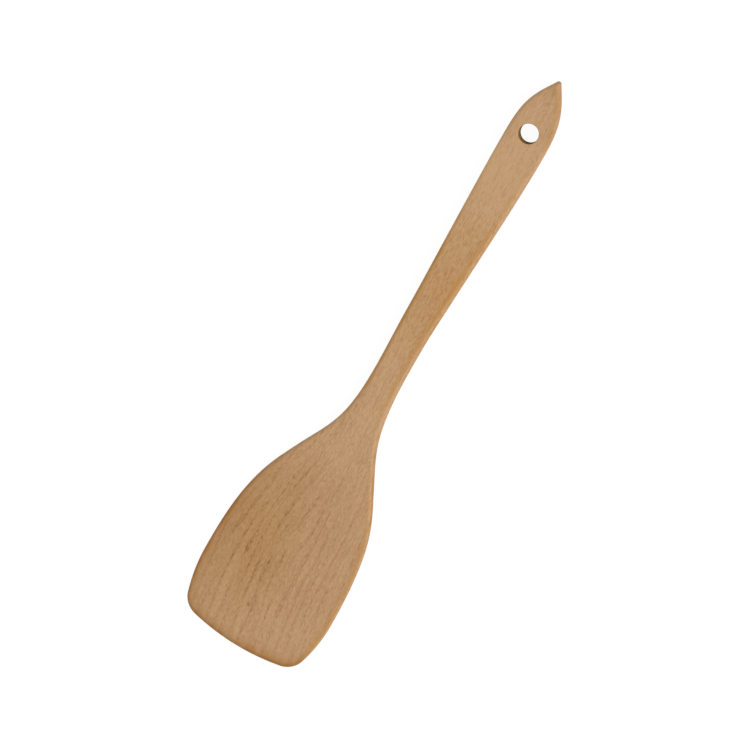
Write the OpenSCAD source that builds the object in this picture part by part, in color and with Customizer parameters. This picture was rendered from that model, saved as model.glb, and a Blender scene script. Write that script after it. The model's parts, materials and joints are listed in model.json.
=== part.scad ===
// Wooden spatula, sawn and sanded from one board of beech. Millimetres.
// It lies on its flat back. +X runs from the blade to the tip of the handle, +Z is up from the back.

/* [Overall] */
// Length from the front edge of the blade to the tip of the handle
overall_l = 300; // [270:5:360]
// Radius of the rounding along every edge, where the wood is thick enough for it
edge_r = 2; // [0.8:0.1:2.6]

/* [Blade] */
// Width of the blade at its widest
blade_w = 67.2; // [60:0.4:76]
// Distance from the front edge to the widest part of the blade
widest_x = 31.5; // [28:0.5:40]
// Radius of the front edge, seen from above
front_r = 104; // [90:1:160]
// Radius of the two front corners
corner_r = 10.5; // [8:0.5:14]
// Radius of the sides between the front corners and the widest part
side_r = 77; // [70:1:110]
// Thickness of the blade at its front edge, before the bevel
front_t = 2.2; // [1.6:0.1:3]
// Thickness of the blade where it starts to rise to the handle
blade_t = 3.2; // [2.4:0.1:4.4]
// How far the rounded bevel reaches in from the front edge
bevel_l = 4; // [2:0.5:6]

/* [Shoulders and neck] */
// Distance from the front edge to the middle of the shoulders
shoulder_x = 96; // [88:1:104]
// Width at the middle of the shoulders
shoulder_w = 40.6; // [34:0.2:46]
// Angle of the shoulders to the length, in degrees
shoulder_angle = 26; // [22:1:32]
// Distance from the front edge to the narrowest part of the neck
neck_x = 150; // [138:1:165]
// Width of the neck at its narrowest
neck_w = 14.3; // [12:0.1:18]
// Distance from the front edge to the start of the rise from blade to handle
rise_start_x = 62; // [50:1:75]
// Distance from the front edge to the end of that rise
rise_end_x = 132; // [115:1:150]

/* [Handle] */
// Width of the handle at its widest
handle_w = 20.5; // [18:0.1:25]
// Thickness of the handle
handle_t = 6; // [5:0.1:9]
// Length of the pointed end, from the widest part of the handle to the tip
tip_l = 33; // [26:1:40]
// Angle of each side to the length where it meets the rounded tip, in degrees
tip_angle = 30; // [26:1:38]
// Radius of the rounded tip, seen from above
tip_r = 1.2; // [0.8:0.1:2]

/* [Hanging hole] */
// Diameter of the hanging hole
hole_d = 9; // [6:0.5:11]
// Distance from the middle of the hole to the tip of the handle
hole_from_tip = 26.8; // [24:0.2:40]
// Width of the broken edge round each end of the hole
hole_chamfer = 0.2; // [0.1:0.1:0.8]

/* [Hidden] */
beech_colour = [0.70, 0.55, 0.40];

// How far each curve keeps its direction at its two ends, as shares of the length that it spans
blade_pull_shares = [0.62, 0.24];
shoulder_pull_shares = [0.35, 0.59];
handle_pull_shares = [0.26, 0.27];
tip_pull_shares = [0.54, 0.41];

// Most of the thickness that the rounding may take from the front face and from the back
face_round_share = 0.45;
back_round_share = 0.35;
// Most of the way to the axis that a rounding may reach
reach_share = 0.85;
// Overrun of a cut past the faces that it goes through
overrun = 1;

// Steps along each stretch of the outline and up each rounding
front_steps = 7;
corner_steps = 10;
side_steps = 6;
curve_steps = 11;
handle_steps = 14;
tip_steps = 5;
round_steps = 5;
hole_fn = 72;

// Centres of the arcs of the outline
front_centre = [front_r, 0];
side_centre = [widest_x, blade_w / 2 - side_r];
corner_centre = inner_tangent_centre(front_centre, front_r - corner_r, side_centre, side_r - corner_r);
front_end_angle = angle_of(corner_centre - front_centre);
corner_end_angle = angle_of(corner_centre - side_centre);
tip_centre = [overall_l - tip_r, 0];

// Places that the curves of the outline run through
widest_point = [widest_x, blade_w / 2];
shoulder_point = [shoulder_x, shoulder_w / 2];
neck_point = [neck_x, neck_w / 2];
handle_point = [overall_l - tip_l, handle_w / 2];
tip_point = tip_centre + tip_r * ray(90 - tip_angle);

hole_x = overall_l - hole_from_tip;

function ray(angle) = [cos(angle), sin(angle)];

function angle_of(v) = atan2(v.y, v.x);

// Centre of a circle that touches two others from inside, from its distances r_a and r_b to their centres
function inner_tangent_centre(a, r_a, b, r_b) =
    let (
        span = norm(b - a),
        along = (b - a) / span,
        side = [along.y, -along.x],
        reach = (r_a * r_a - r_b * r_b + span * span) / (2 * span)
    )
    a + reach * along + sqrt(r_a * r_a - reach * reach) * side;

// A point of the outline is its place and the angle in which the outline travels there.
// The outline starts at the front edge, on the axis, and travels along the +Y side to the tip.
function arc(centre, r, from, to, steps) =
    [for (i = [1:steps])
        let (a = from + (to - from) * i / steps)
        [centre + r * ray(a), a - 90]];

// Place on a curve with ends a and d and handles b and c, at a share t of the way, and its direction there
function bezier(a, b, c, d, t) =
    pow(1 - t, 3) * a + 3 * t * pow(1 - t, 2) * b + 3 * t * t * (1 - t) * c + pow(t, 3) * d;

function bezier_travel(a, b, c, d, t) =
    pow(1 - t, 2) * (b - a) + 2 * t * (1 - t) * (c - b) + t * t * (d - c);

// A curve that leaves point a at angle_a and reaches point d at angle_d
function curve(a, angle_a, d, angle_d, pull_shares, steps) =
    let (
        span = d.x - a.x,
        b = a + pull_shares[0] * span * ray(angle_a),
        c = d - pull_shares[1] * span * ray(angle_d)
    )
    [for (i = [1:steps])
        let (t = i / steps)
        [bezier(a, b, c, d, t), angle_of(bezier_travel(a, b, c, d, t))]];

half_outline = concat(
    [[[0, 0], 90]],
    arc(front_centre, front_r, 180, front_end_angle, front_steps),
    arc(corner_centre, corner_r, front_end_angle, corner_end_angle, corner_steps),
    arc(side_centre, side_r, corner_end_angle, 90, side_steps),
    curve(widest_point, 0, shoulder_point, -shoulder_angle, blade_pull_shares, curve_steps),
    curve(shoulder_point, -shoulder_angle, neck_point, 0, shoulder_pull_shares, curve_steps),
    curve(neck_point, 0, handle_point, 0, handle_pull_shares, handle_steps),
    curve(handle_point, 0, tip_point, -tip_angle, tip_pull_shares, curve_steps),
    arc(tip_centre, tip_r, 90 - tip_angle, 0, tip_steps)
);

half_count = len(half_outline) - 1;
ring_count = 2 * half_count;

// Thickness of the board at distance x from the front edge: the blade thickens slowly towards the rise,
// and the rise leads smoothly into the handle
function blade_thickness(x) = front_t + (blade_t - front_t) * x / rise_start_x;

function smooth_share(x) =
    let (s = min(1, max(0, (x - rise_start_x) / (rise_end_x - rise_start_x))))
    s * s * (3 - 2 * s);

function thickness(x) =
    let (s = smooth_share(x))
    (1 - s) * blade_thickness(x) + s * handle_t;

// How far a point of the outline may move inwards before it nears the axis
function room(place, inward) =
    reach_share * (
        place.y > 0 ? place.y / abs(inward.y)
        : place.x > 0 ? tip_r
        : front_r
    );

// The bevel shares in the reach of the rounding where the outline faces forwards
function bevel_share(place, inward) = place.x < widest_x ? pow(inward.x, 2) : 0;

// One point of the rim, at a step up the rounding from the wall (0) to the flat face (round_steps)
function rim_point(outline_point, step, is_face) =
    let (
        place = outline_point[0],
        inward = ray(outline_point[1] - 90),
        drop = min(edge_r, (is_face ? face_round_share : back_round_share) * thickness(place.x)),
        forward = is_face ? bevel_share(place, inward) : 0,
        reach = forward * bevel_l + (1 - forward) * drop,
        full_turn = acos(max(0, 1 - room(place, inward) / reach)),
        turn = full_turn * step / round_steps,
        xy = place + reach * (1 - cos(turn)) * inward,
        depth = drop * (1 - sin(turn))
    )
    [xy.x, xy.y, is_face ? thickness(xy.x) - depth : depth];

// A whole ring of the rim: the +Y side to the tip, then its mirror image back to the front
function rim_ring(step, is_face) =
    let (half = [for (p = half_outline) rim_point(p, step, is_face)])
    concat(half, [for (i = [half_count - 1:-1:1]) [half[i].x, -half[i].y, half[i].z]]);

// Rings from the back's flat face, round the rim, to the front's flat face
rings = concat(
    [for (step = [round_steps:-1:0]) rim_ring(step, false)],
    [for (step = [0:round_steps]) rim_ring(step, true)]
);

// Number of point i of a ring in the list of all points
function at(ring, i) = ring * ring_count + i % ring_count;

// The band between two rings, with mirrored diagonals on the two sides of the axis
function band(ring) =
    [for (i = [0:ring_count - 1])
        let (
            a = at(ring, i),
            b = at(ring, i + 1),
            c = at(ring + 1, i + 1),
            d = at(ring + 1, i)
        )
        each (i < half_count ? [[a, b, c], [a, c, d]] : [[a, b, d], [b, c, d]])];

// A flat face, closed by strips that run straight across from side to side
function cap(ring) =
    let (
        front = at(ring, 0),
        tip = at(ring, half_count),
        left = [for (i = [1:half_count - 1]) at(ring, i)],
        right = [for (i = [1:half_count - 1]) at(ring, ring_count - i)],
        last = half_count - 2
    )
    concat(
        [[front, left[0], right[0]]],
        [for (i = [0:last - 1]) each [
            [left[i], left[i + 1], right[i + 1]],
            [left[i], right[i + 1], right[i]]
        ]],
        [[left[last], tip, right[last]]]
    );

// The same faces, turned to look the other way
function reversed(faces) = [for (f = faces) [f[2], f[1], f[0]]];

// The board, sawn to its outline, thinned at the blade and rounded along every edge
module board() {
    last_ring = len(rings) - 1;
    faces = concat(
        reversed(cap(0)),
        [for (ring = [0:last_ring - 1]) each band(ring)],
        cap(last_ring)
    );
    polyhedron(points = [for (ring = rings) each ring], faces = faces, convexity = 4);
}

// The drilled hanging hole, with a broken edge round each end
module hanging_hole() {
    bore_r = hole_d / 2;
    mouth_r = bore_r + hole_chamfer + overrun;
    translate([hole_x, 0, 0])
        rotate_extrude($fn = hole_fn)
            polygon([
                [0, -overrun],
                [mouth_r, -overrun],
                [bore_r, hole_chamfer],
                [bore_r, handle_t - hole_chamfer],
                [mouth_r, handle_t + overrun],
                [0, handle_t + overrun]
            ]);
}

// The whole spatula, with its origin under the middle of its length
module spatula() {
    color(beech_colour)
        translate([-overall_l / 2, 0, 0])
            difference() {
                board();
                hanging_hole();
            }
}

spatula();
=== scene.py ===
# Wooden spatula: the finish of a turner sawn, drilled and sanded from one board of beech.
# Metres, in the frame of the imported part: +X runs from the blade to the tip of the handle,
# +Y is to the left when the handle points away, and +Z is up from the flat back.

import json
import math

import bpy
import numpy as np
from mathutils import Matrix, Vector, noise


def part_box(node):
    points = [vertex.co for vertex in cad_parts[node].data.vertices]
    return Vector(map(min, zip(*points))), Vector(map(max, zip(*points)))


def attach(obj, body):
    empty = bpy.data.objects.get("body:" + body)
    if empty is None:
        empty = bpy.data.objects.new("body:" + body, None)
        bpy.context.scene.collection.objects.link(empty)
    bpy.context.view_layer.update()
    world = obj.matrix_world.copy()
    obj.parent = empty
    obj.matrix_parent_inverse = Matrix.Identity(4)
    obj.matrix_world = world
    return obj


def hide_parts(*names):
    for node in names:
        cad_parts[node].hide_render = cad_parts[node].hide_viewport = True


MM = 0.001

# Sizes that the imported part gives
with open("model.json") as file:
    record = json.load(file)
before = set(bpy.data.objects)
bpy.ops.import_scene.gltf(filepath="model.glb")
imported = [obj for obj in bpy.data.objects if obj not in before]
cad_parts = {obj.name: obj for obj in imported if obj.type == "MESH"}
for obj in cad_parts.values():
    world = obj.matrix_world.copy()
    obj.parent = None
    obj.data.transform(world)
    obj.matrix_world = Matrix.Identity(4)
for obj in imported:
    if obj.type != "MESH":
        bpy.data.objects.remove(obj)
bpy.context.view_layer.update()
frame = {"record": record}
BODY_LOW, BODY_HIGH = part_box("spatula")
LENGTH = BODY_HIGH.x - BODY_LOW.x
BLADE_W = BODY_HIGH.y - BODY_LOW.y
HANDLE_T = BODY_HIGH.z - BODY_LOW.z
HOLE = next(m for m in frame["record"]["mounts"] if m["name"] == "hanging_hole")
HOLE_R = HOLE["dims"]["r_mm"] * MM
HOLE_X = HOLE["pos_m"][0] - BODY_LOW.x
HOLE_ROUND = (HANDLE_T - HOLE["dims"]["length_mm"] * MM) / 2

# The outline, with distances from the front edge of the blade
WIDEST_X = 31.5 * MM
FRONT_R = 104 * MM
CORNER_R = 10.5 * MM
SIDE_R = 77 * MM
SHOULDER_X = 96 * MM
SHOULDER_W = 40.6 * MM
SHOULDER_ANGLE = math.radians(26)
NECK_X = 150 * MM
NECK_W = 14.3 * MM
HANDLE_W = 20.5 * MM
TIP_L = 33 * MM
TIP_ANGLE = math.radians(30)
TIP_R = 1.2 * MM
# How far the two ends of each curve pull it their way, as shares of its length along the board
BLADE_PULL_SHARES = (0.62, 0.24)
SHOULDER_PULL_SHARES = (0.35, 0.59)
HANDLE_PULL_SHARES = (0.26, 0.27)
TIP_PULL_SHARES = (0.54, 0.41)

# The thickness and the roundings
FRONT_T = 2.2 * MM
BLADE_T = 3.2 * MM
RISE_START_X = 62 * MM
RISE_END_X = 132 * MM
EDGE_R = 2 * MM
BEVEL_L = 4 * MM
FACE_ROUND_SHARE = 0.45
BACK_ROUND_SHARE = 0.35
# How much of the way to the middle of the board a rounding may take
REACH_SHARE = 0.85

# Hand sanding: a slight crown across the faces, shallow waves along them, and a rounding that varies
CROWN = 0.10 * MM
WAVE_DEPTH = 0.05 * MM
WAVE_L = 26 * MM
ROUND_WANDER_SHARE = 0.14
ROUND_WANDER_L = 34 * MM
# How many times shorter the waves are across the board than along it
WAVE_SQUEEZE = 2
# The layers of noise that the back and the face take
WAVE_LAYERS = (0, 7)
ROUND_LAYERS = (0, 1)

# How the hand-sawn outline strays sideways: distance from the front edge and shift towards +Y, in mm
SWAY = (
    (0, -0.2),
    (15, -0.4),
    (30, -0.3),
    (55, 0.0),
    (75, 0.0),
    (100, 0.3),
    (125, -0.2),
    (140, 0.0),
    (170, 0.5),
    (190, 0.2),
    (210, 0.0),
    (240, -0.3),
    (270, -0.4),
    (290, 0.0),
    (300, -0.2),
)
# The shift is the mean of its values at a few places within this distance
SWAY_BLUR = 6 * MM
SWAY_BLUR_STEPS = 5
# How far from its wall the hanging hole holds back the shift
HOLE_HOLD = 4.5 * MM
# The very tip is worn back a little
TIP_WEAR = 0.5 * MM
TIP_WEAR_L = 9 * MM

# How finely the mesh is divided
FRONT_STEPS = 10
CORNER_STEPS = 6
SIDE_STEPS = 8
BLADE_STEPS = 34
SHOULDER_STEPS = 30
HANDLE_STEPS = 84
TIP_STEPS = 30
ROUND_STEPS = 8
WALL_STEPS = 3
BORE_STEPS = 6
# How far in from each end the grid of a face bends to follow the front edge and the tip
FRONT_BEND_L = WIDEST_X
TIP_BEND_L = TIP_L / 2
# The block of that grid that the hanging hole takes up, and the loops between the block's edge and the hole
HOLE_BLOCK_HALF = 6.4 * MM
HOLE_BLEND_SHARES = (0.34, 0.70)
# Keeps a division away from zero
TINY = 1e-9


def ray(angle):
    """The direction at an angle from +X, seen from above."""
    return np.array([math.cos(angle), math.sin(angle)])


def angle_of(v):
    """The angle of a direction from +X, seen from above."""
    return math.atan2(v[1], v[0])


def inner_tangent_centre(a, r_a, b, r_b):
    """Centre of a circle that touches two others from inside, from its distances to their centres."""
    span = np.linalg.norm(b - a)
    along = (b - a) / span
    side = np.array([along[1], -along[0]])
    reach = (r_a**2 - r_b**2 + span**2) / (2 * span)
    return a + reach * along + math.sqrt(r_a**2 - reach**2) * side


def arc(centre, r, start, end, steps):
    """Points of an arc, each with the angle in which the outline travels there."""
    angles = [start + (end - start) * i / steps for i in range(1, steps + 1)]
    return [(*(centre + r * ray(a)), a - math.pi / 2) for a in angles]


def curve(a, angle_a, d, angle_d, pull_shares, steps):
    """A curve that leaves point a at angle_a and reaches point d at angle_d."""
    a, d = np.array(a), np.array(d)
    span = d[0] - a[0]
    b = a + pull_shares[0] * span * ray(angle_a)
    c = d - pull_shares[1] * span * ray(angle_d)
    found = []
    for i in range(1, steps + 1):
        t = i / steps
        s = 1 - t
        place = s**3 * a + 3 * t * s**2 * b + 3 * t**2 * s * c + t**3 * d
        travel = s**2 * (b - a) + 2 * t * s * (c - b) + t**2 * (d - c)
        found.append((*place, angle_of(travel)))
    return found


def half_outline():
    """The +Y half of the outline, from the middle of the front edge to the tip, as rows of x, y and angle.
    Returns it with the numbers of its points at the front corner and at the start of the tip's arc."""
    front_centre = np.array([FRONT_R, 0])
    side_centre = np.array([WIDEST_X, BLADE_W / 2 - SIDE_R])
    corner_centre = inner_tangent_centre(front_centre, FRONT_R - CORNER_R, side_centre, SIDE_R - CORNER_R)
    front_end = angle_of(corner_centre - front_centre)
    corner_end = angle_of(corner_centre - side_centre)
    corner_mid = (front_end + corner_end) / 2
    tip_centre = np.array([LENGTH - TIP_R, 0])
    tip_start = math.pi / 2 - TIP_ANGLE
    shoulder = (SHOULDER_X, SHOULDER_W / 2)
    neck = (NECK_X, NECK_W / 2)
    handle = (LENGTH - TIP_L, HANDLE_W / 2)
    tip = tip_centre + TIP_R * ray(tip_start)
    points = [(0, 0, math.pi / 2)]
    points += arc(front_centre, FRONT_R, math.pi, front_end, FRONT_STEPS)
    points += arc(corner_centre, CORNER_R, front_end, corner_mid, CORNER_STEPS)
    corner = len(points) - 1
    points += arc(corner_centre, CORNER_R, corner_mid, corner_end, CORNER_STEPS)
    points += arc(side_centre, SIDE_R, corner_end, math.pi / 2, SIDE_STEPS)
    points += curve((WIDEST_X, BLADE_W / 2), 0, shoulder, -SHOULDER_ANGLE, BLADE_PULL_SHARES, BLADE_STEPS)
    points += curve(shoulder, -SHOULDER_ANGLE, neck, 0, SHOULDER_PULL_SHARES, SHOULDER_STEPS)
    points += curve(neck, 0, handle, 0, HANDLE_PULL_SHARES, HANDLE_STEPS)
    points += curve(handle, 0, tip, -TIP_ANGLE, TIP_PULL_SHARES, TIP_STEPS)
    tip_arc = len(points) - 1
    # The tip's arc has as many steps as the front edge, so that one grid fits both
    points += arc(tip_centre, TIP_R, tip_start, 0, corner)
    return np.array(points), corner, tip_arc


def smooth(t):
    """From 0 to 1, with a soft start and a soft end."""
    t = np.clip(t, 0, 1)
    return t * t * (3 - 2 * t)


def thickness(x):
    """Thickness of the board at distance x from the front edge."""
    blade = FRONT_T + (BLADE_T - FRONT_T) * x / RISE_START_X
    s = smooth((x - RISE_START_X) / (RISE_END_X - RISE_START_X))
    return (1 - s) * blade + s * HANDLE_T


def wander(x, y, layer, length):
    """Smooth noise from 0 to 1 that changes over about the given length and is another in each layer."""
    found = [noise.noise(Vector((*place, layer)) / length) for place in zip(x, y)]
    return (1 + np.array(found)) / 2


def rim_ring(outline, turn_share, is_face):
    """One ring of the rim, at a share of the turn from the wall (0) to the flat face or back (1)."""
    x, y, angle = outline.T
    inward = np.stack([np.sin(angle), -np.cos(angle)], 1)
    side_room = y / np.maximum(np.abs(inward[:, 1]), TINY)
    room = REACH_SHARE * np.where(y > 0, side_room, np.where(x > 0, TIP_R, FRONT_R))
    hand = 1 - ROUND_WANDER_SHARE * wander(x, y, ROUND_LAYERS[is_face], ROUND_WANDER_L)
    drop = hand * np.minimum(EDGE_R, (FACE_ROUND_SHARE if is_face else BACK_ROUND_SHARE) * thickness(x))
    forward = np.where(x < WIDEST_X, inward[:, 0] ** 2, 0) * is_face
    reach = forward * BEVEL_L + (1 - forward) * drop
    turn = turn_share * np.arccos(np.maximum(0, 1 - room / reach))
    xy = np.stack([x, y], 1) + (reach * (1 - np.cos(turn)))[:, None] * inward
    depth = drop * (1 - np.sin(turn))
    z = thickness(xy[:, 0]) - depth if is_face else depth
    return np.column_stack([xy, z])


def rim_rings(outline):
    """Rings from the flat part of the back, up round the rim, to the flat part of the face."""
    shares = [i / ROUND_STEPS for i in range(ROUND_STEPS + 1)]
    back = [rim_ring(outline, s, False) for s in reversed(shares)]
    face = [rim_ring(outline, s, True) for s in shares]
    low, high = back[-1], face[0]
    wall = [low + (high - low) * i / (WALL_STEPS + 1) for i in range(1, WALL_STEPS + 1)]
    return back + wall + face


def whole_ring(half, corner, tip_arc):
    """A half ring and its mirror image as one loop: along the front edge from +Y to -Y, up the -Y side,
    round the tip and back down the +Y side."""
    last = len(half) - 1
    front = [(i, 1) for i in range(corner, 0, -1)] + [(0, 1)] + [(i, -1) for i in range(1, corner + 1)]
    side = [(i, -1) for i in range(corner + 1, tip_arc + 1)]
    tip = [(i, -1) for i in range(tip_arc + 1, last)] + [(last, 1)]
    tip += [(i, 1) for i in range(last - 1, tip_arc - 1, -1)]
    home = [(i, 1) for i in range(tip_arc - 1, corner, -1)]
    order = front + side + tip + home
    ring = half[[i for i, _ in order]].copy()
    ring[:, 1] *= [sign for _, sign in order]
    return ring


class Skin:
    """Vertices and quads as they are added."""

    def __init__(self):
        self.points = []
        self.faces = []

    def add(self, points):
        """Adds points and returns their vertex numbers."""
        first = len(self.points)
        self.points += [tuple(p) for p in points]
        return list(range(first, len(self.points)))

    def band(self, a, b):
        """Quads between two closed loops of vertex numbers."""
        n = len(a)
        self.faces += [(a[i], a[(i + 1) % n], b[(i + 1) % n], b[i]) for i in range(n)]


def grid_numbers(skin, ring, columns, rows):
    """Fills a flat face inside its ring with a grid of points, and returns their vertex numbers as a table
    [row][column]. The rows run straight across, and bend near the front edge and the tip to follow these."""
    at = np.array([skin.points[i] for i in ring])
    front = at[: columns + 1]
    tip = at[columns + rows : 2 * columns + rows + 1][::-1]
    across = (front[0, 1] - front[:, 1]) / (front[0, 1] - front[-1, 1])
    tip_across = (tip[0, 1] - tip[:, 1]) / (tip[0, 1] - tip[-1, 1])
    front_bend = front - (front[0] + np.outer(across, front[-1] - front[0]))
    tip_bend = tip - (tip[0] + np.outer(tip_across, tip[-1] - tip[0]))
    table = [ring[: columns + 1]]
    for row in range(1, rows):
        right, left = ring[columns + row], ring[2 * columns + 2 * rows - row]
        a, d = np.array(skin.points[left]), np.array(skin.points[right])
        near_front = 1 - smooth((a[0] - front[0, 0]) / FRONT_BEND_L)
        near_tip = 1 - smooth((tip[0, 0] - a[0]) / TIP_BEND_L)
        shares = across * (1 - near_tip) + tip_across * near_tip
        line = a + np.outer(shares, d - a) + near_front * front_bend + near_tip * tip_bend
        table.append([left] + skin.add(line[1:-1]) + [right])
    table.append(ring[columns + rows : 2 * columns + rows + 1][::-1])
    return table


def hole_block(skin, table):
    """First and last row and column of the part of the grid that makes room for the hanging hole."""
    middle = len(table[0]) // 2
    rows = [r for r, line in enumerate(table) if abs(skin.points[line[middle]][0] - HOLE_X) < HOLE_BLOCK_HALF]
    line = table[rows[len(rows) // 2]]
    columns = [c for c, v in enumerate(line) if abs(skin.points[v][1]) < HOLE_BLOCK_HALF]
    return rows[0], rows[-1], columns[0], columns[-1]


def grid_faces(skin, table, block, is_face):
    """Quads of a face's grid, without those inside the block."""
    r0, r1, c0, c1 = block
    for r in range(len(table) - 1):
        for c in range(len(table[0]) - 1):
            if r0 <= r < r1 and c0 <= c < c1:
                continue
            quad = (table[r][c], table[r][c + 1], table[r + 1][c + 1], table[r + 1][c])
            skin.faces.append(quad if is_face else quad[::-1])


def block_loop(table, block):
    """The block's edge as a loop, in the same direction as the outline's."""
    r0, r1, c0, c1 = block
    loop = table[r0][c0:c1] + [table[r][c1] for r in range(r0, r1)]
    loop += table[r1][c1:c0:-1] + [table[r][c0] for r in range(r1, r0, -1)]
    return loop


def bore(skin, top, bottom):
    """The hanging hole: in from the block's edge, over a broken edge, down the bore and out again."""
    face_edge = np.array([skin.points[i] for i in top])
    back_edge = np.array([skin.points[i] for i in bottom])
    out = face_edge[:, :2] - [HOLE_X, 0]
    out /= np.linalg.norm(out, axis=1)[:, None]

    def circle(r, z):
        return np.column_stack([out * r + [HOLE_X, 0], np.full(len(out), z)])

    quarter = [math.pi / 2 * i / ROUND_STEPS for i in range(ROUND_STEPS + 1)]
    mouth = [(HOLE_R + HOLE_ROUND * (1 - math.sin(a)), HOLE_ROUND * (1 - math.cos(a))) for a in quarter]
    wall = [HOLE_ROUND + (HANDLE_T - 2 * HOLE_ROUND) * i / BORE_STEPS for i in range(1, BORE_STEPS)]
    face_mouth = circle(mouth[0][0], HANDLE_T)
    back_mouth = face_mouth - [0, 0, HANDLE_T]
    loops = [top]
    loops += [skin.add(face_edge + s * (face_mouth - face_edge)) for s in HOLE_BLEND_SHARES]
    loops += [skin.add(circle(r, HANDLE_T - depth)) for r, depth in mouth]
    loops += [skin.add(circle(HOLE_R, z)) for z in reversed(wall)]
    loops += [skin.add(circle(r, depth)) for r, depth in reversed(mouth)]
    loops += [skin.add(back_edge + s * (back_mouth - back_edge)) for s in reversed(HOLE_BLEND_SHARES)]
    loops += [bottom]
    for a, b in zip(loops, loops[1:]):
        skin.band(a, b)


def sanded(points, outline):
    """The points with the slight crown and waves that hand sanding leaves, always towards the inside."""
    x, y, z = points.T
    half_w = np.maximum(np.interp(x, outline[:, 0], outline[:, 1]), TIP_R)
    crown = CROWN * np.minimum(1, (y / half_w) ** 2)
    deep = thickness(x)
    for is_face in (True, False):
        waves = WAVE_DEPTH * wander(x, WAVE_SQUEEZE * y, WAVE_LAYERS[is_face], WAVE_L)
        share = z / deep if is_face else 1 - z / deep
        # A face moves in full and the middle of the thickness not at all
        move = np.clip(2 * share - 1, 0, 1) * (waves + crown)
        points[:, 2] += -move if is_face else move
    return points


def spatula_mesh():
    """The whole spatula as one closed skin of quads."""
    outline, corner, tip_arc = half_outline()
    columns, rows = 2 * corner, tip_arc - corner
    skin = Skin()
    rings = [skin.add(whole_ring(half, corner, tip_arc)) for half in rim_rings(outline)]
    for a, b in zip(rings, rings[1:]):
        skin.band(a, b)
    face = grid_numbers(skin, rings[-1], columns, rows)
    back = grid_numbers(skin, rings[0], columns, rows)
    block = hole_block(skin, face)
    grid_faces(skin, face, block, True)
    grid_faces(skin, back, block, False)
    bore(skin, block_loop(face, block), block_loop(back, block))
    points = sanded(np.array(skin.points), outline)
    points[:, 0] += BODY_LOW.x
    return points, skin.faces, outline


def edge_distance(points, outline):
    """Distance of each point from the outline, seen from above."""
    shape = outline[:, :2] + [BODY_LOW.x, 0]
    start, step = shape[:-1], np.diff(shape, axis=0)
    place = np.stack([points[:, 0], np.abs(points[:, 1])], 1)
    away = np.full(len(place), np.inf)
    for a, s in zip(start, step):
        t = np.clip((place - a) @ s / (s @ s), 0, 1)
        away = np.minimum(away, np.linalg.norm(place - a - t[:, None] * s, axis=1))
    return away


def keep_values(mesh, name, values):
    """Stores a number for each vertex, for the material to read."""
    mesh.attributes.new(name, "FLOAT", "POINT").data.foreach_set("value", values.astype(np.float32))


def swayed(points, from_hole):
    """The points moved sideways as the outline strays from true, with the hanging hole left where it is
    drilled and the very tip worn back."""
    x = points[:, 0] - BODY_LOW.x
    places, shifts = np.array(SWAY).T * MM
    steps = SWAY_BLUR * np.linspace(-1, 1, SWAY_BLUR_STEPS)
    near = [np.interp(x + step, places, shifts) for step in steps]
    held = smooth((from_hole - HOLE_R) / HOLE_HOLD)
    points[:, 1] += held * np.mean(near, axis=0)
    points[:, 0] -= TIP_WEAR * smooth((x - LENGTH + TIP_WEAR_L) / TIP_WEAR_L)
    return points


def spatula(material):
    """The wooden piece, which stands for the part's one solid."""
    points, faces, outline = spatula_mesh()
    from_edge = edge_distance(points, outline)
    from_hole = np.hypot(points[:, 0] - HOLE["pos_m"][0], points[:, 1])
    mesh = bpy.data.meshes.new("spatula_wood")
    mesh.from_pydata(swayed(points, from_hole).tolist(), [], faces)
    mesh.polygons.foreach_set("use_smooth", [True] * len(mesh.polygons))
    keep_values(mesh, "from_edge", from_edge / MM)
    keep_values(mesh, "from_bore", (from_hole - HOLE_R) / MM)
    mesh.materials.append(material)
    piece = bpy.data.objects.new("spatula_wood", mesh)
    bpy.context.scene.collection.objects.link(piece)
    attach(piece, "root")
    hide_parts("spatula")


# Tones of the beech, as linear colours
PALE = (0.552, 0.344, 0.179)
DEEP = (0.350, 0.173, 0.064)
WARM = (0.492, 0.243, 0.070)
# Painted light on the left rounding, partly paler sanded wood
SANDED_AND_LIT = (0.686, 0.443, 0.214)
FLECK = (0.194, 0.092, 0.036)
# Burnished wood on the rims, and painted shade where the rims are turned from the key lamp
BURNISHED_AND_SHADED = (0.350, 0.154, 0.035)
END_GRAIN = (0.271, 0.130, 0.053)
# Darker in the drilled hole and on its rim
BORE_DARK = (0.238, 0.099, 0.014)
KNOT = (0.172, 0.089, 0.036)

# All lengths from here to the studio are in mm, and x starts at the front edge of the blade.
# A SIZE is how long, wide and deep the features of a noise are. A RAMP goes from nothing at its first value
# to full at its second, and two SHARES are what a thing gives at nothing and at full.

# The dark rows of the grain: they arch over the front of the blade, fan in from both sides of FAN_Y
# towards the neck, and rise slowly along the handle
ROW_PITCH = 4.2
ROW_HALF_SHARE = 0.28
ARCH_X = 58
ARCH_L = 45
ARCH_RISE = 10
FAN_Y = -6
FAN_SHARES = (1.0, 0.65)
FAN_RAMP = (45, 125)
HANDLE_SLOPE = 0.06
HANDLE_SLOPE_X = 112
# How the rows drift to the side and through the board, and how many pitches they wobble
DRIFT = 3.0
DRIFT_SIZE = (60, 22, 22)
DRIFT_THROUGH_SHARE = 0.4
WOBBLE = 1.6
WOBBLE_SIZE = (40, 9, 9)
# Where along the board a row shows, how strongly, and how much more so on the blade
ROW_SHOW_SIZE = (20, 4.2, 9)
ROW_SHOW_RAMP = (0.32, 0.58)
ROW_STRENGTH = 0.22
ROW_BLADE_EXTRA = 0.22
ROW_BLADE_RAMP = (118, 84)

# The tone between pale and deep: its level, and the weights of the noises in it and of the rows
TONE = 0.32
BAND_SIZE = (170, 13, 6)
BAND_WEIGHT = 0.45
STREAK_SIZE = (14, 1.2, 1.7)
STREAK_WEIGHT = 0.60
FINE_SIZE = (2.0, 0.70, 0.8)
FINE_WEIGHT = 0.95
CLOUD_SIZE = (26, 18, 18)
CLOUD_WEIGHT = 0.4
ROW_TONE_WEIGHT = 0.30

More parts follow.
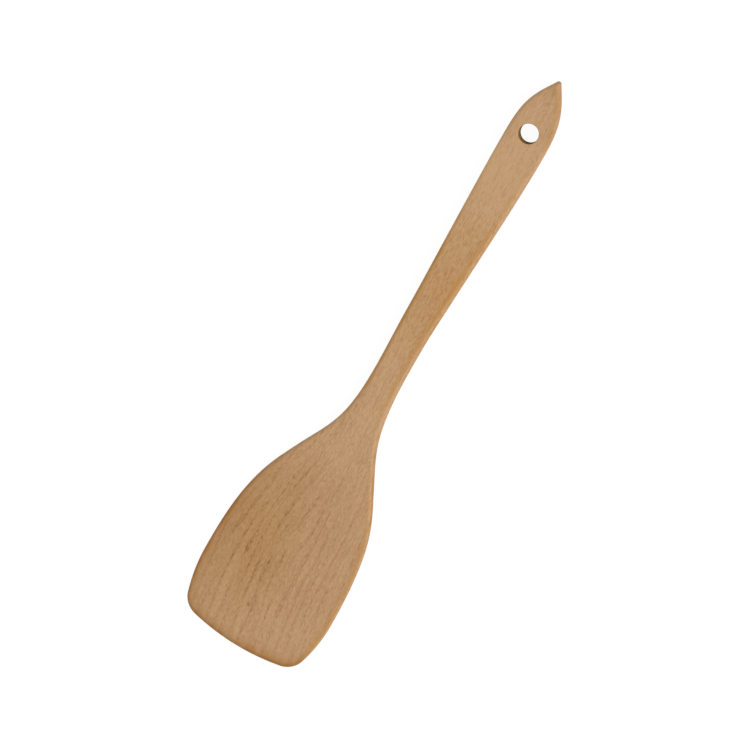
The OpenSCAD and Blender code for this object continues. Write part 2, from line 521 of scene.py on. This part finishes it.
# How much detail a noise has: the usual, that of the fine grain, and the least
USUAL_DETAIL = 2.0
FINE_DETAIL = 1.5
PLAIN_DETAIL = 1.0

# Pin flecks: dashes, which show most in the rows, and spindles, one at most in each cell.
# The radii of the spindles are shares of a cell
DASH_SIZE = (1.6, 0.70, 9.0)
DASH_RAMP = (0.46, 0.72)
DASH_SHARES = (0.15, 1.0)
SPINDLE_CELL = (2.8, 1.15, 30.0)
SPINDLE_RADII = (0.16, 0.38)
SPINDLE_CORE_SHARE = 0.35
SPINDLES_KEPT_SHARE = 0.8
SPINDLE_STRENGTH = 0.45
FLECK_BLADE_RAMP = (112, 78)
FLECK_SHARES = (0.45, 0.60)

# Pores, end grain, whose ramp is in how far a surface faces along the board, and the darker bore and its rim
PORE_SIZE = (1.5, 0.45, 0.45)
PORE_RAMP = (0.50, 0.74)
PORE_STRENGTH = 0.14
END_GRAIN_RAMP = (0.25, 0.95)
END_GRAIN_STRENGTH = 0.5
BORE_DARK_RAMP = (0.30, 0.06)
BORE_DARK_STRENGTH = 0.95

# Painted light, partly paler sanded wood: the left rounding, which is turned from the key lamp, made paler,
# with x, the fall at the tip, y and the distance from the edge
LIGHTER_LEFT_X_RAMP = (90, 225)
LIGHTER_LEFT_TIP_RAMP = (276, 256)
LIGHTER_LEFT_TIP_SHARES = (0.2, 0.85)
LIGHTER_LEFT_Y_RAMP = (-2, 2)
LIGHTER_LEFT_EDGE_RAMP = (2.4, 0.5)

# Warmer edges: on the right of the blade, as a line inside the right edge of the handle, and on its left
WARM_RIGHT_RAMP = (2, -2)
WARM_BLADE_X_RAMP = (100, 70)
WARM_BLADE_EDGE_RAMP = (3.6, 1.4)
WARM_BLADE_STRENGTH = 0.5
WARM_START_RAMP = (116, 140)
WARM_END_RAMP = (268, 205)
WARM_LINE_MIDDLE = 2.4
WARM_LINE_HALF = 1.6
WARM_LINE_STRENGTH = 0.62
WARM_LEFT_EDGE_RAMP = (2.6, 0.8)
WARM_LEFT_STRENGTH = 0.7
WARM_PATCH_SIZE = (9, 5, 5)
WARM_PATCH_RAMP = (0.25, 0.65)
WARM_PATCH_SHARES = (0.45, 1.10)

# Darker edges round the front and up the left of the blade, in a deep band and a wide one: partly burnished
# wood, partly painted shade on rims turned from the key lamp
DARK_RIM_FRONT_RAMP = (18, 7)
DARK_RIM_LEFT_RAMP = (-4, 12)
DARK_RIM_LEFT_X_RAMP = (96, 62)
DARK_RIM_DEEP_RAMP = (2.4, 0.6)
DARK_RIM_DEEP_STRENGTH = 0.45
DARK_RIM_WIDE_RAMP = (6.6, 1.2)
DARK_RIM_WIDE_STRENGTH = 0.40
# Painted shade on the right: a thin dark line along the outer rim that is strongest at the shoulder, and the
# tip
SHADE_RIGHT_RAMP = (1, -3)
SHADE_LINE_X_RAMP = (66, 84)
SHADE_LINE_EDGE_RAMP = (1.0, 0.3)
SHADE_SHOULDER_RAMP = (130, 104)
SHADE_SHOULDER_SHARES = (0.2, 0.6)
SHADE_TIP_X_RAMP = (262, 280)
SHADE_TIP_EDGE_RAMP = (3.2, 0.6)
SHADE_TIP_STRENGTH = 0.42
# How patchy both are
DARK_RIM_PATCH_SIZE = (8, 4, 6)
DARK_RIM_PATCH_RAMP = (0.3, 0.7)
DARK_RIM_PATCH_SHARES = (0.62, 1.37)

# How dull the sanded wood is, without varnish, and how much duller some places are
SHEEN_SIZE = (26, 1.4, 1.7)
ROUGHNESS_SHARES = (0.56, 0.72)
END_GRAIN_ROUGHNESS = 0.12
FLECK_ROUGHNESS = 0.08
BORE_DARK_ROUGHNESS = 0.4
SPECULAR_LEVEL = 0.28

# The relief of the open grain, above 0 where it stands out
SHEEN_RELIEF = 0.03
ROW_RELIEF = -0.012
FLECK_RELIEF = -0.02
PORE_RELIEF = -0.012
BUMP_STRENGTH = 0.8

# Soft patches: the x and y of the middle, the length, the width and the strength.
# Where the wood is darker (above 0) or paler
TONE_PATCHES = (
    (50, 14, 60, 28, 0.24),
    (44, 27, 76, 16, 0.24),
    (16, -6, 22, 60, -0.06),
    (60, -24, 70, 18, -0.08),
    (112, 0, 50, 34, -0.11),
    (150, 0, 40, 16, -0.12),
    (184, -2, 32, 12, 0.04),
    (245, 0, 66, 24, -0.34),
    (286, 0, 22, 16, -0.08),
)
# Where it is warmer
WARM_PATCHES = (
    (50, 14, 70, 34, 0.26),
    (194, -3, 66, 40, 0.44),
)
# Where the dark rows show most
ROW_PATCHES = ((50, 12, 84, 44, 0.50),)
# Where the flecks are darker
FLECK_PATCHES = (
    (58, 12, 60, 36, 0.35),
    (186, -2, 60, 20, 0.35),
)
# Where the fine grain is livelier
LIVELY_PATCHES = (
    (50, 10, 70, 50, 0.2),
    (114, 0, 44, 60, 0.6),
    (198, 0, 94, 60, 1.8),
)

# Small dark marks: the x and y of the middle, the radius and the strength. The ramp is in radii
MARKS = ((19.9, 3.3, 0.85, 0.50), (289, -0.6, 0.65, 0.28))
MARK_RAMP = (1.6, 0.4)


class Graph:
    """Short words for making shader nodes."""

    def __init__(self, tree):
        self.tree = tree

    def node(self, kind, sockets=None, **settings):
        """A new node, with its settings and with values or links for its sockets."""
        made = self.tree.nodes.new(kind)
        for name, value in settings.items():
            setattr(made, name, value)
        for key, value in (sockets or {}).items():
            self.put(made.inputs[key], value)
        return made

    def put(self, socket, value):
        """Links another node's output to a socket, or sets the socket to a plain value."""
        if isinstance(value, bpy.types.NodeSocket):
            self.tree.links.new(value, socket)
        else:
            socket.default_value = value

    def math(self, operation, *values, clamp=False):
        """A number worked out from others."""
        made = self.node("ShaderNodeMath", operation=operation, use_clamp=clamp)
        for socket, value in zip(made.inputs, values):
            self.put(socket, value)
        return made.outputs[0]

    def vector(self, operation, *values):
        """A vector worked out from others."""
        made = self.node("ShaderNodeVectorMath", operation=operation)
        for socket, value in zip(made.inputs, values):
            self.put(socket, value)
        return made.outputs[0]

    def square(self, value):
        return self.math("MULTIPLY", value, value)

    def product(self, *values):
        """All the values multiplied, from the last one back."""
        total = values[-1]
        for value in reversed(values[:-1]):
            total = self.math("MULTIPLY", value, total)
        return total

    def weighted(self, total, parts):
        """The total with every value of the parts added to it, each times its weight."""
        for value, weight in parts:
            total = self.math("MULTIPLY_ADD", value, weight, total)
        return total

    def between(self, share, low, high):
        """From low where the share is 0 to high where it is 1."""
        return self.math("MULTIPLY_ADD", share, high - low, low)

    def centred(self, value):
        """A value from 0 to 1, brought to lie from -0.5 to 0.5."""
        return self.math("SUBTRACT", value, 0.5)

    def ramp(self, value, none_at, full_at):
        """0 at one value and 1 at the other, with a smooth change between them and none outside them."""
        made = self.node("ShaderNodeMapRange", {"Value": value}, interpolation_type="SMOOTHSTEP")
        falls = none_at > full_at
        self.put(made.inputs["From Min"], min(none_at, full_at))
        self.put(made.inputs["From Max"], max(none_at, full_at))
        self.put(made.inputs["To Min"], 1.0 if falls else 0.0)
        self.put(made.inputs["To Max"], 0.0 if falls else 1.0)
        return made.outputs["Result"]

    def hump(self, value, middle, half_width):
        """1 at the middle, falling to 0 on both sides."""
        away = self.math("ABSOLUTE", self.math("SUBTRACT", value, middle))
        return self.ramp(away, half_width, 0.0)

    def axes(self, vector):
        """The x, y and z of a vector."""
        return self.node("ShaderNodeSeparateXYZ", {"Vector": vector}).outputs[:]

    def noise(self, place, size, detail=USUAL_DETAIL):
        """Noise from 0 to 1 whose features have the given size along x, y and z."""
        sockets = {"Vector": self.vector("DIVIDE", place, size), "Scale": 1.0, "Detail": detail}
        return self.node("ShaderNodeTexNoise", sockets).outputs["Fac"]

    def mix(self, share, a, b):
        """Colour a where the share is 0, and b where it is 1."""
        made = self.node("ShaderNodeMix", data_type="RGBA", clamp_factor=True)
        self.put(made.inputs["Factor"], share)
        colours = [s for s in made.inputs if s.type == "RGBA"]
        for socket, colour in zip(colours, (a, b)):
            self.put(socket, colour if isinstance(colour, bpy.types.NodeSocket) else (*colour, 1.0))
        return next(s for s in made.outputs if s.type == "RGBA")


def patches(g, x, y, table):
    """Sum of the soft patches in a table."""
    total = 0.0
    for middle_x, middle_y, length, width, strength in table:
        u = g.math("DIVIDE", g.math("SUBTRACT", x, middle_x), length / 2)
        v = g.math("DIVIDE", g.math("SUBTRACT", y, middle_y), width / 2)
        away = g.math("ADD", g.square(u), g.square(v))
        patch = g.math("EXPONENT", g.math("MULTIPLY", away, -1.0))
        total = g.math("MULTIPLY_ADD", patch, strength, total)
    return total


def mark_share(g, x, y):
    """How strongly a place lies on one of the few small dark marks."""
    total = 0.0
    for middle_x, middle_y, radius, strength in MARKS:
        u = g.math("SUBTRACT", x, middle_x)
        v = g.math("SUBTRACT", y, middle_y)
        away = g.math("SQRT", g.math("ADD", g.square(u), g.square(v)))
        inside = g.ramp(away, *(share * radius for share in MARK_RAMP))
        total = g.math("MAXIMUM", g.math("MULTIPLY", inside, strength), total)
    return total


def row_height(g, x):
    """How far a row of the grain lies above its height at ARCH_X."""
    before = g.math("MINIMUM", g.math("SUBTRACT", x, ARCH_X), 0.0)
    turn = g.math("DIVIDE", before, ARCH_L)
    arch = g.math("EXPONENT", g.math("MULTIPLY", g.square(turn), -0.5))
    after = g.math("MAXIMUM", g.math("SUBTRACT", x, HANDLE_SLOPE_X), 0.0)
    return g.math("MULTIPLY_ADD", after, HANDLE_SLOPE, g.between(arch, -ARCH_RISE, 0.0))


def grain_place(g, place):
    """Place in the straightened grain: along the rows, across them and through the board."""
    x, y, z = g.axes(place)
    drift = g.math("MULTIPLY", g.centred(g.noise(place, DRIFT_SIZE)), DRIFT)
    fan = g.between(g.ramp(x, *FAN_RAMP), *FAN_SHARES)
    from_fan = g.math("SUBTRACT", g.math("SUBTRACT", y, FAN_Y), row_height(g, x))
    across = g.math("DIVIDE", g.math("ADD", from_fan, drift), fan)
    through = g.math("MULTIPLY_ADD", drift, DRIFT_THROUGH_SHARE, z)
    return g.node("ShaderNodeCombineXYZ", {"X": x, "Y": across, "Z": through}).outputs[0]


def grain_rows(g, grain, x, y):
    """How strongly a place lies on a dark row of the grain. The rows come and go along the board and fade
    at the handle."""
    across = g.axes(grain)[1]
    wobble = g.math("MULTIPLY", g.noise(grain, WOBBLE_SIZE, PLAIN_DETAIL), WOBBLE)
    phase = g.math("FRACT", g.math("ADD", g.math("DIVIDE", across, ROW_PITCH), wobble))
    shows = g.ramp(g.noise(grain, ROW_SHOW_SIZE, PLAIN_DETAIL), *ROW_SHOW_RAMP)
    on_blade = g.ramp(x, *ROW_BLADE_RAMP)
    strength = g.math("MULTIPLY_ADD", on_blade, ROW_BLADE_EXTRA, patches(g, x, y, ROW_PATCHES))
    strength = g.math("ADD", strength, ROW_STRENGTH)
    return g.product(g.hump(phase, 0.5, ROW_HALF_SHARE), shows, strength)


def wood_tone(g, place, grain, rows, x, y):
    """From 0 for pale wood to 1 for deep: broad bands, streaks, fine grain, clouds and the dark rows."""
    tone = g.math("ADD", patches(g, x, y, TONE_PATCHES), TONE)
    lively = g.math("ADD", patches(g, x, y, LIVELY_PATCHES), FINE_WEIGHT)
    return g.weighted(tone, (
        (g.centred(g.noise(grain, BAND_SIZE)), BAND_WEIGHT),
        (g.centred(g.noise(grain, STREAK_SIZE)), STREAK_WEIGHT),
        (g.centred(g.noise(grain, FINE_SIZE, FINE_DETAIL)), lively),
        (g.centred(g.noise(place, CLOUD_SIZE)), CLOUD_WEIGHT),
        (rows, ROW_TONE_WEIGHT),
    ))


def spindles(g, grain):
    """Ray flecks: short dark spindles, one at most in each cell, with random length and strength."""
    scaled = g.vector("DIVIDE", grain, SPINDLE_CELL)
    sockets = {"Vector": scaled, "Scale": 1.0, "Randomness": 1.0}
    cells = g.node("ShaderNodeTexVoronoi", sockets, feature="F1")
    luck = g.node("ShaderNodeSeparateColor", {"Color": cells.outputs["Color"]})
    radius = g.between(luck.outputs["Red"], *SPINDLE_RADII)
    inside = g.math("DIVIDE", cells.outputs["Distance"], radius)
    strength = g.ramp(luck.outputs["Green"], 1 - SPINDLES_KEPT_SHARE, 1.0)
    return g.math("MULTIPLY", g.ramp(inside, 1.0, SPINDLE_CORE_SHARE), strength)


def fleck_share(g, grain, rows, x, y):
    """Pin flecks: short dark dashes and spindles, darkest on the blade and in some patches."""
    dashes = g.ramp(g.noise(grain, DASH_SIZE, PLAIN_DETAIL), *DASH_RAMP)
    dashes = g.math("MULTIPLY", dashes, g.between(rows, *DASH_SHARES))
    share = g.math("MAXIMUM", g.math("MULTIPLY", spindles(g, grain), SPINDLE_STRENGTH), dashes)
    on_blade = g.between(g.ramp(x, *FLECK_BLADE_RAMP), *FLECK_SHARES)
    return g.math("MULTIPLY", share, g.math("ADD", on_blade, patches(g, x, y, FLECK_PATCHES)))


def sanded_and_lit_share(g, x, y, from_edge):
    """Painted light, partly paler sanded wood: how much paler the rounding is on the left of the neck and the
    handle, less so at the tip.
    """
    tip = g.between(g.ramp(x, *LIGHTER_LEFT_TIP_RAMP), *LIGHTER_LEFT_TIP_SHARES)
    along = g.math("MULTIPLY", g.ramp(x, *LIGHTER_LEFT_X_RAMP), tip)
    left = g.math("MULTIPLY", g.ramp(y, *LIGHTER_LEFT_Y_RAMP), along)
    return g.math("MULTIPLY", left, g.ramp(from_edge, *LIGHTER_LEFT_EDGE_RAMP))


def warmth(g, place, x, y, from_edge):
    """How much warmer the wood is: in some patches, and along the edges that aren't darkened."""
    right = g.ramp(y, *WARM_RIGHT_RAMP)
    on_blade = g.math("MULTIPLY", g.ramp(x, *WARM_BLADE_X_RAMP), WARM_BLADE_STRENGTH)
    blade = g.math("MULTIPLY", g.ramp(from_edge, *WARM_BLADE_EDGE_RAMP), on_blade)
    stretch = g.math("MULTIPLY", g.ramp(x, *WARM_START_RAMP), g.ramp(x, *WARM_END_RAMP))
    line = g.product(g.hump(from_edge, WARM_LINE_MIDDLE, WARM_LINE_HALF), stretch, WARM_LINE_STRENGTH)
    left = g.product(g.ramp(from_edge, *WARM_LEFT_EDGE_RAMP), stretch, WARM_LEFT_STRENGTH)
    on_right = g.math("MULTIPLY", g.math("MAXIMUM", blade, line), right)
    on_left = g.math("MULTIPLY", left, g.math("SUBTRACT", 1.0, right))
    patchy = g.between(g.ramp(g.noise(place, WARM_PATCH_SIZE), *WARM_PATCH_RAMP), *WARM_PATCH_SHARES)
    edges = g.math("MULTIPLY", g.math("ADD", on_right, on_left), patchy)
    return g.math("ADD", patches(g, x, y, WARM_PATCHES), edges, clamp=True)


def edge_wear_and_shade(g, grain, x, y, from_edge):
    """How much darker the rims are: burnished wood and painted shade on the rim at the front of the blade and
    up its left side, and painted shade on the right, thinly along the shoulder and the handle, and at the
    tip."""
    left = g.math("MULTIPLY", g.ramp(y, *DARK_RIM_LEFT_RAMP), g.ramp(x, *DARK_RIM_LEFT_X_RAMP))
    deep = g.math("MULTIPLY", g.ramp(from_edge, *DARK_RIM_DEEP_RAMP), DARK_RIM_DEEP_STRENGTH)
    wide = g.math("MULTIPLY_ADD", g.ramp(from_edge, *DARK_RIM_WIDE_RAMP), DARK_RIM_WIDE_STRENGTH, deep)
    blade = g.math("MULTIPLY", g.math("MAXIMUM", g.ramp(x, *DARK_RIM_FRONT_RAMP), left), wide)
    shoulder = g.between(g.ramp(x, *SHADE_SHOULDER_RAMP), *SHADE_SHOULDER_SHARES)
    along = g.math("MULTIPLY", g.ramp(x, *SHADE_LINE_X_RAMP), shoulder)
    line = g.math("MULTIPLY", along, g.ramp(from_edge, *SHADE_LINE_EDGE_RAMP))
    tip = g.product(g.ramp(x, *SHADE_TIP_X_RAMP), g.ramp(from_edge, *SHADE_TIP_EDGE_RAMP), SHADE_TIP_STRENGTH)
    right = g.math("MULTIPLY", g.ramp(y, *SHADE_RIGHT_RAMP), g.math("MAXIMUM", line, tip))
    patchy = g.between(g.ramp(g.noise(grain, DARK_RIM_PATCH_SIZE), *DARK_RIM_PATCH_RAMP), *DARK_RIM_PATCH_SHARES)
    return g.math("MULTIPLY", g.math("MAXIMUM", blade, right), patchy, clamp=True)


def end_grain_share(g):
    """How far a surface is cut across the grain."""
    facing = g.axes(g.node("ShaderNodeTexCoord").outputs["Normal"])[0]
    return g.ramp(g.math("ABSOLUTE", facing), *END_GRAIN_RAMP)


def beech():
    """Sanded beech: dark rows of pin flecks, pores, darker end grain, warmer edges, rims darkened by
    burnishing and painted shade, painted light on the left rounding, and a darker drilled hole.
    """
    material = bpy.data.materials.new("beech")
    material.use_nodes = True
    g = Graph(material.node_tree)
    shader = next(n for n in material.node_tree.nodes if n.type == "BSDF_PRINCIPLED")

    # Place in millimetres from the middle of the front edge
    own = g.node("ShaderNodeTexCoord").outputs["Object"]
    place = g.vector("MULTIPLY_ADD", own, (1 / MM,) * 3, (-BODY_LOW.x / MM, 0.0, 0.0))
    x, y, _ = g.axes(place)
    from_edge = g.node("ShaderNodeAttribute", attribute_name="from_edge").outputs["Fac"]
    from_bore = g.node("ShaderNodeAttribute", attribute_name="from_bore").outputs["Fac"]

    # What the colour, the sheen and the relief share
    grain = grain_place(g, place)
    rows = grain_rows(g, grain, x, y)
    pores = g.ramp(g.noise(grain, PORE_SIZE), *PORE_RAMP)
    fleck = fleck_share(g, grain, rows, x, y)
    cut = end_grain_share(g)
    bore_dark = g.ramp(from_bore, *BORE_DARK_RAMP)
    sheen = g.noise(grain, SHEEN_SIZE)

    # The colour, each tone laid over those before it
    colour = g.mix(wood_tone(g, place, grain, rows, x, y), PALE, DEEP)
    layers = (
        # Painted light on the left rounding, partly paler sanded wood
        (sanded_and_lit_share(g, x, y, from_edge), SANDED_AND_LIT),
        (warmth(g, place, x, y, from_edge), WARM),
        (g.math("MULTIPLY", pores, PORE_STRENGTH), FLECK),
        (fleck, FLECK),
        # Burnished wood and painted shade on the rims
        (edge_wear_and_shade(g, grain, x, y, from_edge), BURNISHED_AND_SHADED),
        (g.math("MULTIPLY", cut, END_GRAIN_STRENGTH), END_GRAIN),
        # Darker in the drilled hole and on its rim
        (g.math("MULTIPLY", bore_dark, BORE_DARK_STRENGTH), BORE_DARK),
        (mark_share(g, x, y), KNOT),
    )
    for share, tone in layers:
        colour = g.mix(share, colour, tone)
    g.put(shader.inputs["Base Color"], colour)

    # Duller across the grain, in the flecks and in the drilled hole
    parts = ((cut, END_GRAIN_ROUGHNESS), (fleck, FLECK_ROUGHNESS), (bore_dark, BORE_DARK_ROUGHNESS))
    roughness = g.weighted(g.between(sheen, *ROUGHNESS_SHARES), parts)
    g.put(shader.inputs["Roughness"], g.math("MINIMUM", roughness, 1.0))
    shader.inputs["Specular IOR Level"].default_value = SPECULAR_LEVEL

    parts = ((sheen, SHEEN_RELIEF), (rows, ROW_RELIEF), (fleck, FLECK_RELIEF), (pores, PORE_RELIEF))
    relief = {"Height": g.weighted(0.0, parts), "Distance": MM, "Strength": BUMP_STRENGTH}
    g.put(shader.inputs["Normal"], g.node("ShaderNodeBump", relief).outputs["Normal"])
    return material


# The studio: levels are shares of what makes a white surface white
KEY_SHARE = 0.13
FILL_SHARE = 0.87
KEY_HEIGHT = math.radians(30)
KEY_SIDE = math.radians(-58)
KEY_SOFTNESS = math.radians(30)
# What a lamp this soft gives, as a share of what a sharp one of the same strength gives (measured)
KEY_REACH_SHARE = 0.44
FLOOR_HALF = 4.0
FLOOR_COLOUR = (0.80, 0.80, 0.80)
FLOOR_GLOW = 0.93
FLOOR_SHADE = (0.10, 0.10, 0.10)


def backdrop_rays(g):
    """1 for the rays that should see the white background: from the camera, or off gloss or through glass."""
    path = g.node("ShaderNodeLightPath").outputs
    seen = g.math("MAXIMUM", path["Is Camera Ray"], path["Is Glossy Ray"])
    return g.math("MAXIMUM", seen, path["Is Transmission Ray"])


def floor():
    """A plain pale floor that looks white and keeps the shadow."""
    corners = [(x * FLOOR_HALF, y * FLOOR_HALF, 0.0) for x, y in ((-1, -1), (1, -1), (1, 1), (-1, 1))]
    mesh = bpy.data.meshes.new("floor")
    mesh.from_pydata(corners, [], [(0, 1, 2, 3)])
    material = bpy.data.materials.new("floor")
    material.use_nodes = True
    material.node_tree.nodes.clear()
    g = Graph(material.node_tree)
    glow = g.node("ShaderNodeEmission", {"Strength": FLOOR_GLOW}).outputs[0]
    shade = g.node("ShaderNodeBsdfDiffuse", {"Color": (*FLOOR_SHADE, 1.0)}).outputs[0]
    plain = g.node("ShaderNodeBsdfDiffuse", {"Color": (*FLOOR_COLOUR, 1.0)}).outputs[0]
    white = g.node("ShaderNodeAddShader", {0: glow, 1: shade}).outputs[0]
    mixed = g.node("ShaderNodeMixShader", {0: backdrop_rays(g), 1: plain, 2: white}).outputs[0]
    g.node("ShaderNodeOutputMaterial", {"Surface": mixed})
    mesh.materials.append(material)
    piece = bpy.data.objects.new("floor", mesh)
    bpy.context.scene.collection.objects.link(piece)


def studio_world():
    """White where it is seen, and an even fill light."""
    world = bpy.data.worlds.new("studio")
    world.use_nodes = True
    bpy.context.scene.world = world
    world.node_tree.nodes.clear()
    g = Graph(world.node_tree)
    strength = g.between(backdrop_rays(g), FILL_SHARE, 1.0)
    background = g.node("ShaderNodeBackground", {"Strength": strength}).outputs[0]
    g.node("ShaderNodeOutputWorld", {"Surface": background})


def key_light():
    """A large soft lamp to the right of the handle."""
    lamp = bpy.data.lights.new("key", "SUN")
    lamp.energy = KEY_SHARE * math.pi / math.sin(KEY_HEIGHT) / KEY_REACH_SHARE
    lamp.angle = KEY_SOFTNESS
    towards = Vector((
        math.cos(KEY_HEIGHT) * math.cos(KEY_SIDE),
        math.cos(KEY_HEIGHT) * math.sin(KEY_SIDE),
        math.sin(KEY_HEIGHT),
    ))
    light = bpy.data.objects.new("key", lamp)
    light.rotation_mode = "QUATERNION"
    light.rotation_quaternion = towards.to_track_quat("Z", "Y")
    light.location = towards
    bpy.context.scene.collection.objects.link(light)


# The camera: its lean from straight above, its turn, its distance and the point that it looks at
CAMERA_LEAN = (0.27, -0.085)
CAMERA_TURN = 0.5165
CAMERA_DISTANCE = 2.0
CAMERA_TARGET = (-7.09 * MM, 5.62 * MM, HANDLE_T / 2)
SENSOR_W = 36.0
PIXELS_PER_MM = 2.244
IMAGE_SIDE = 750


def camera():
    """The camera, at the photo's viewing angle."""
    towards = Vector((*CAMERA_LEAN, 1.0)).normalized()
    up_hint = Vector((math.cos(CAMERA_TURN), math.sin(CAMERA_TURN), 0.0))
    right = up_hint.cross(towards).normalized()
    up = towards.cross(right)
    data = bpy.data.cameras.new("camera")
    data.sensor_width = SENSOR_W
    data.lens = SENSOR_W * PIXELS_PER_MM / MM * CAMERA_DISTANCE / IMAGE_SIDE
    eye = bpy.data.objects.new("camera", data)
    turn = Matrix((right, up, towards)).transposed()
    eye.matrix_world = Matrix.Translation(Vector(CAMERA_TARGET) + CAMERA_DISTANCE * towards) @ turn.to_4x4()
    bpy.context.scene.collection.objects.link(eye)
    bpy.context.scene.camera = eye


bpy.context.scene.view_settings.view_transform = "Standard"
spatula(beech())
floor()
studio_world()
key_light()
camera()
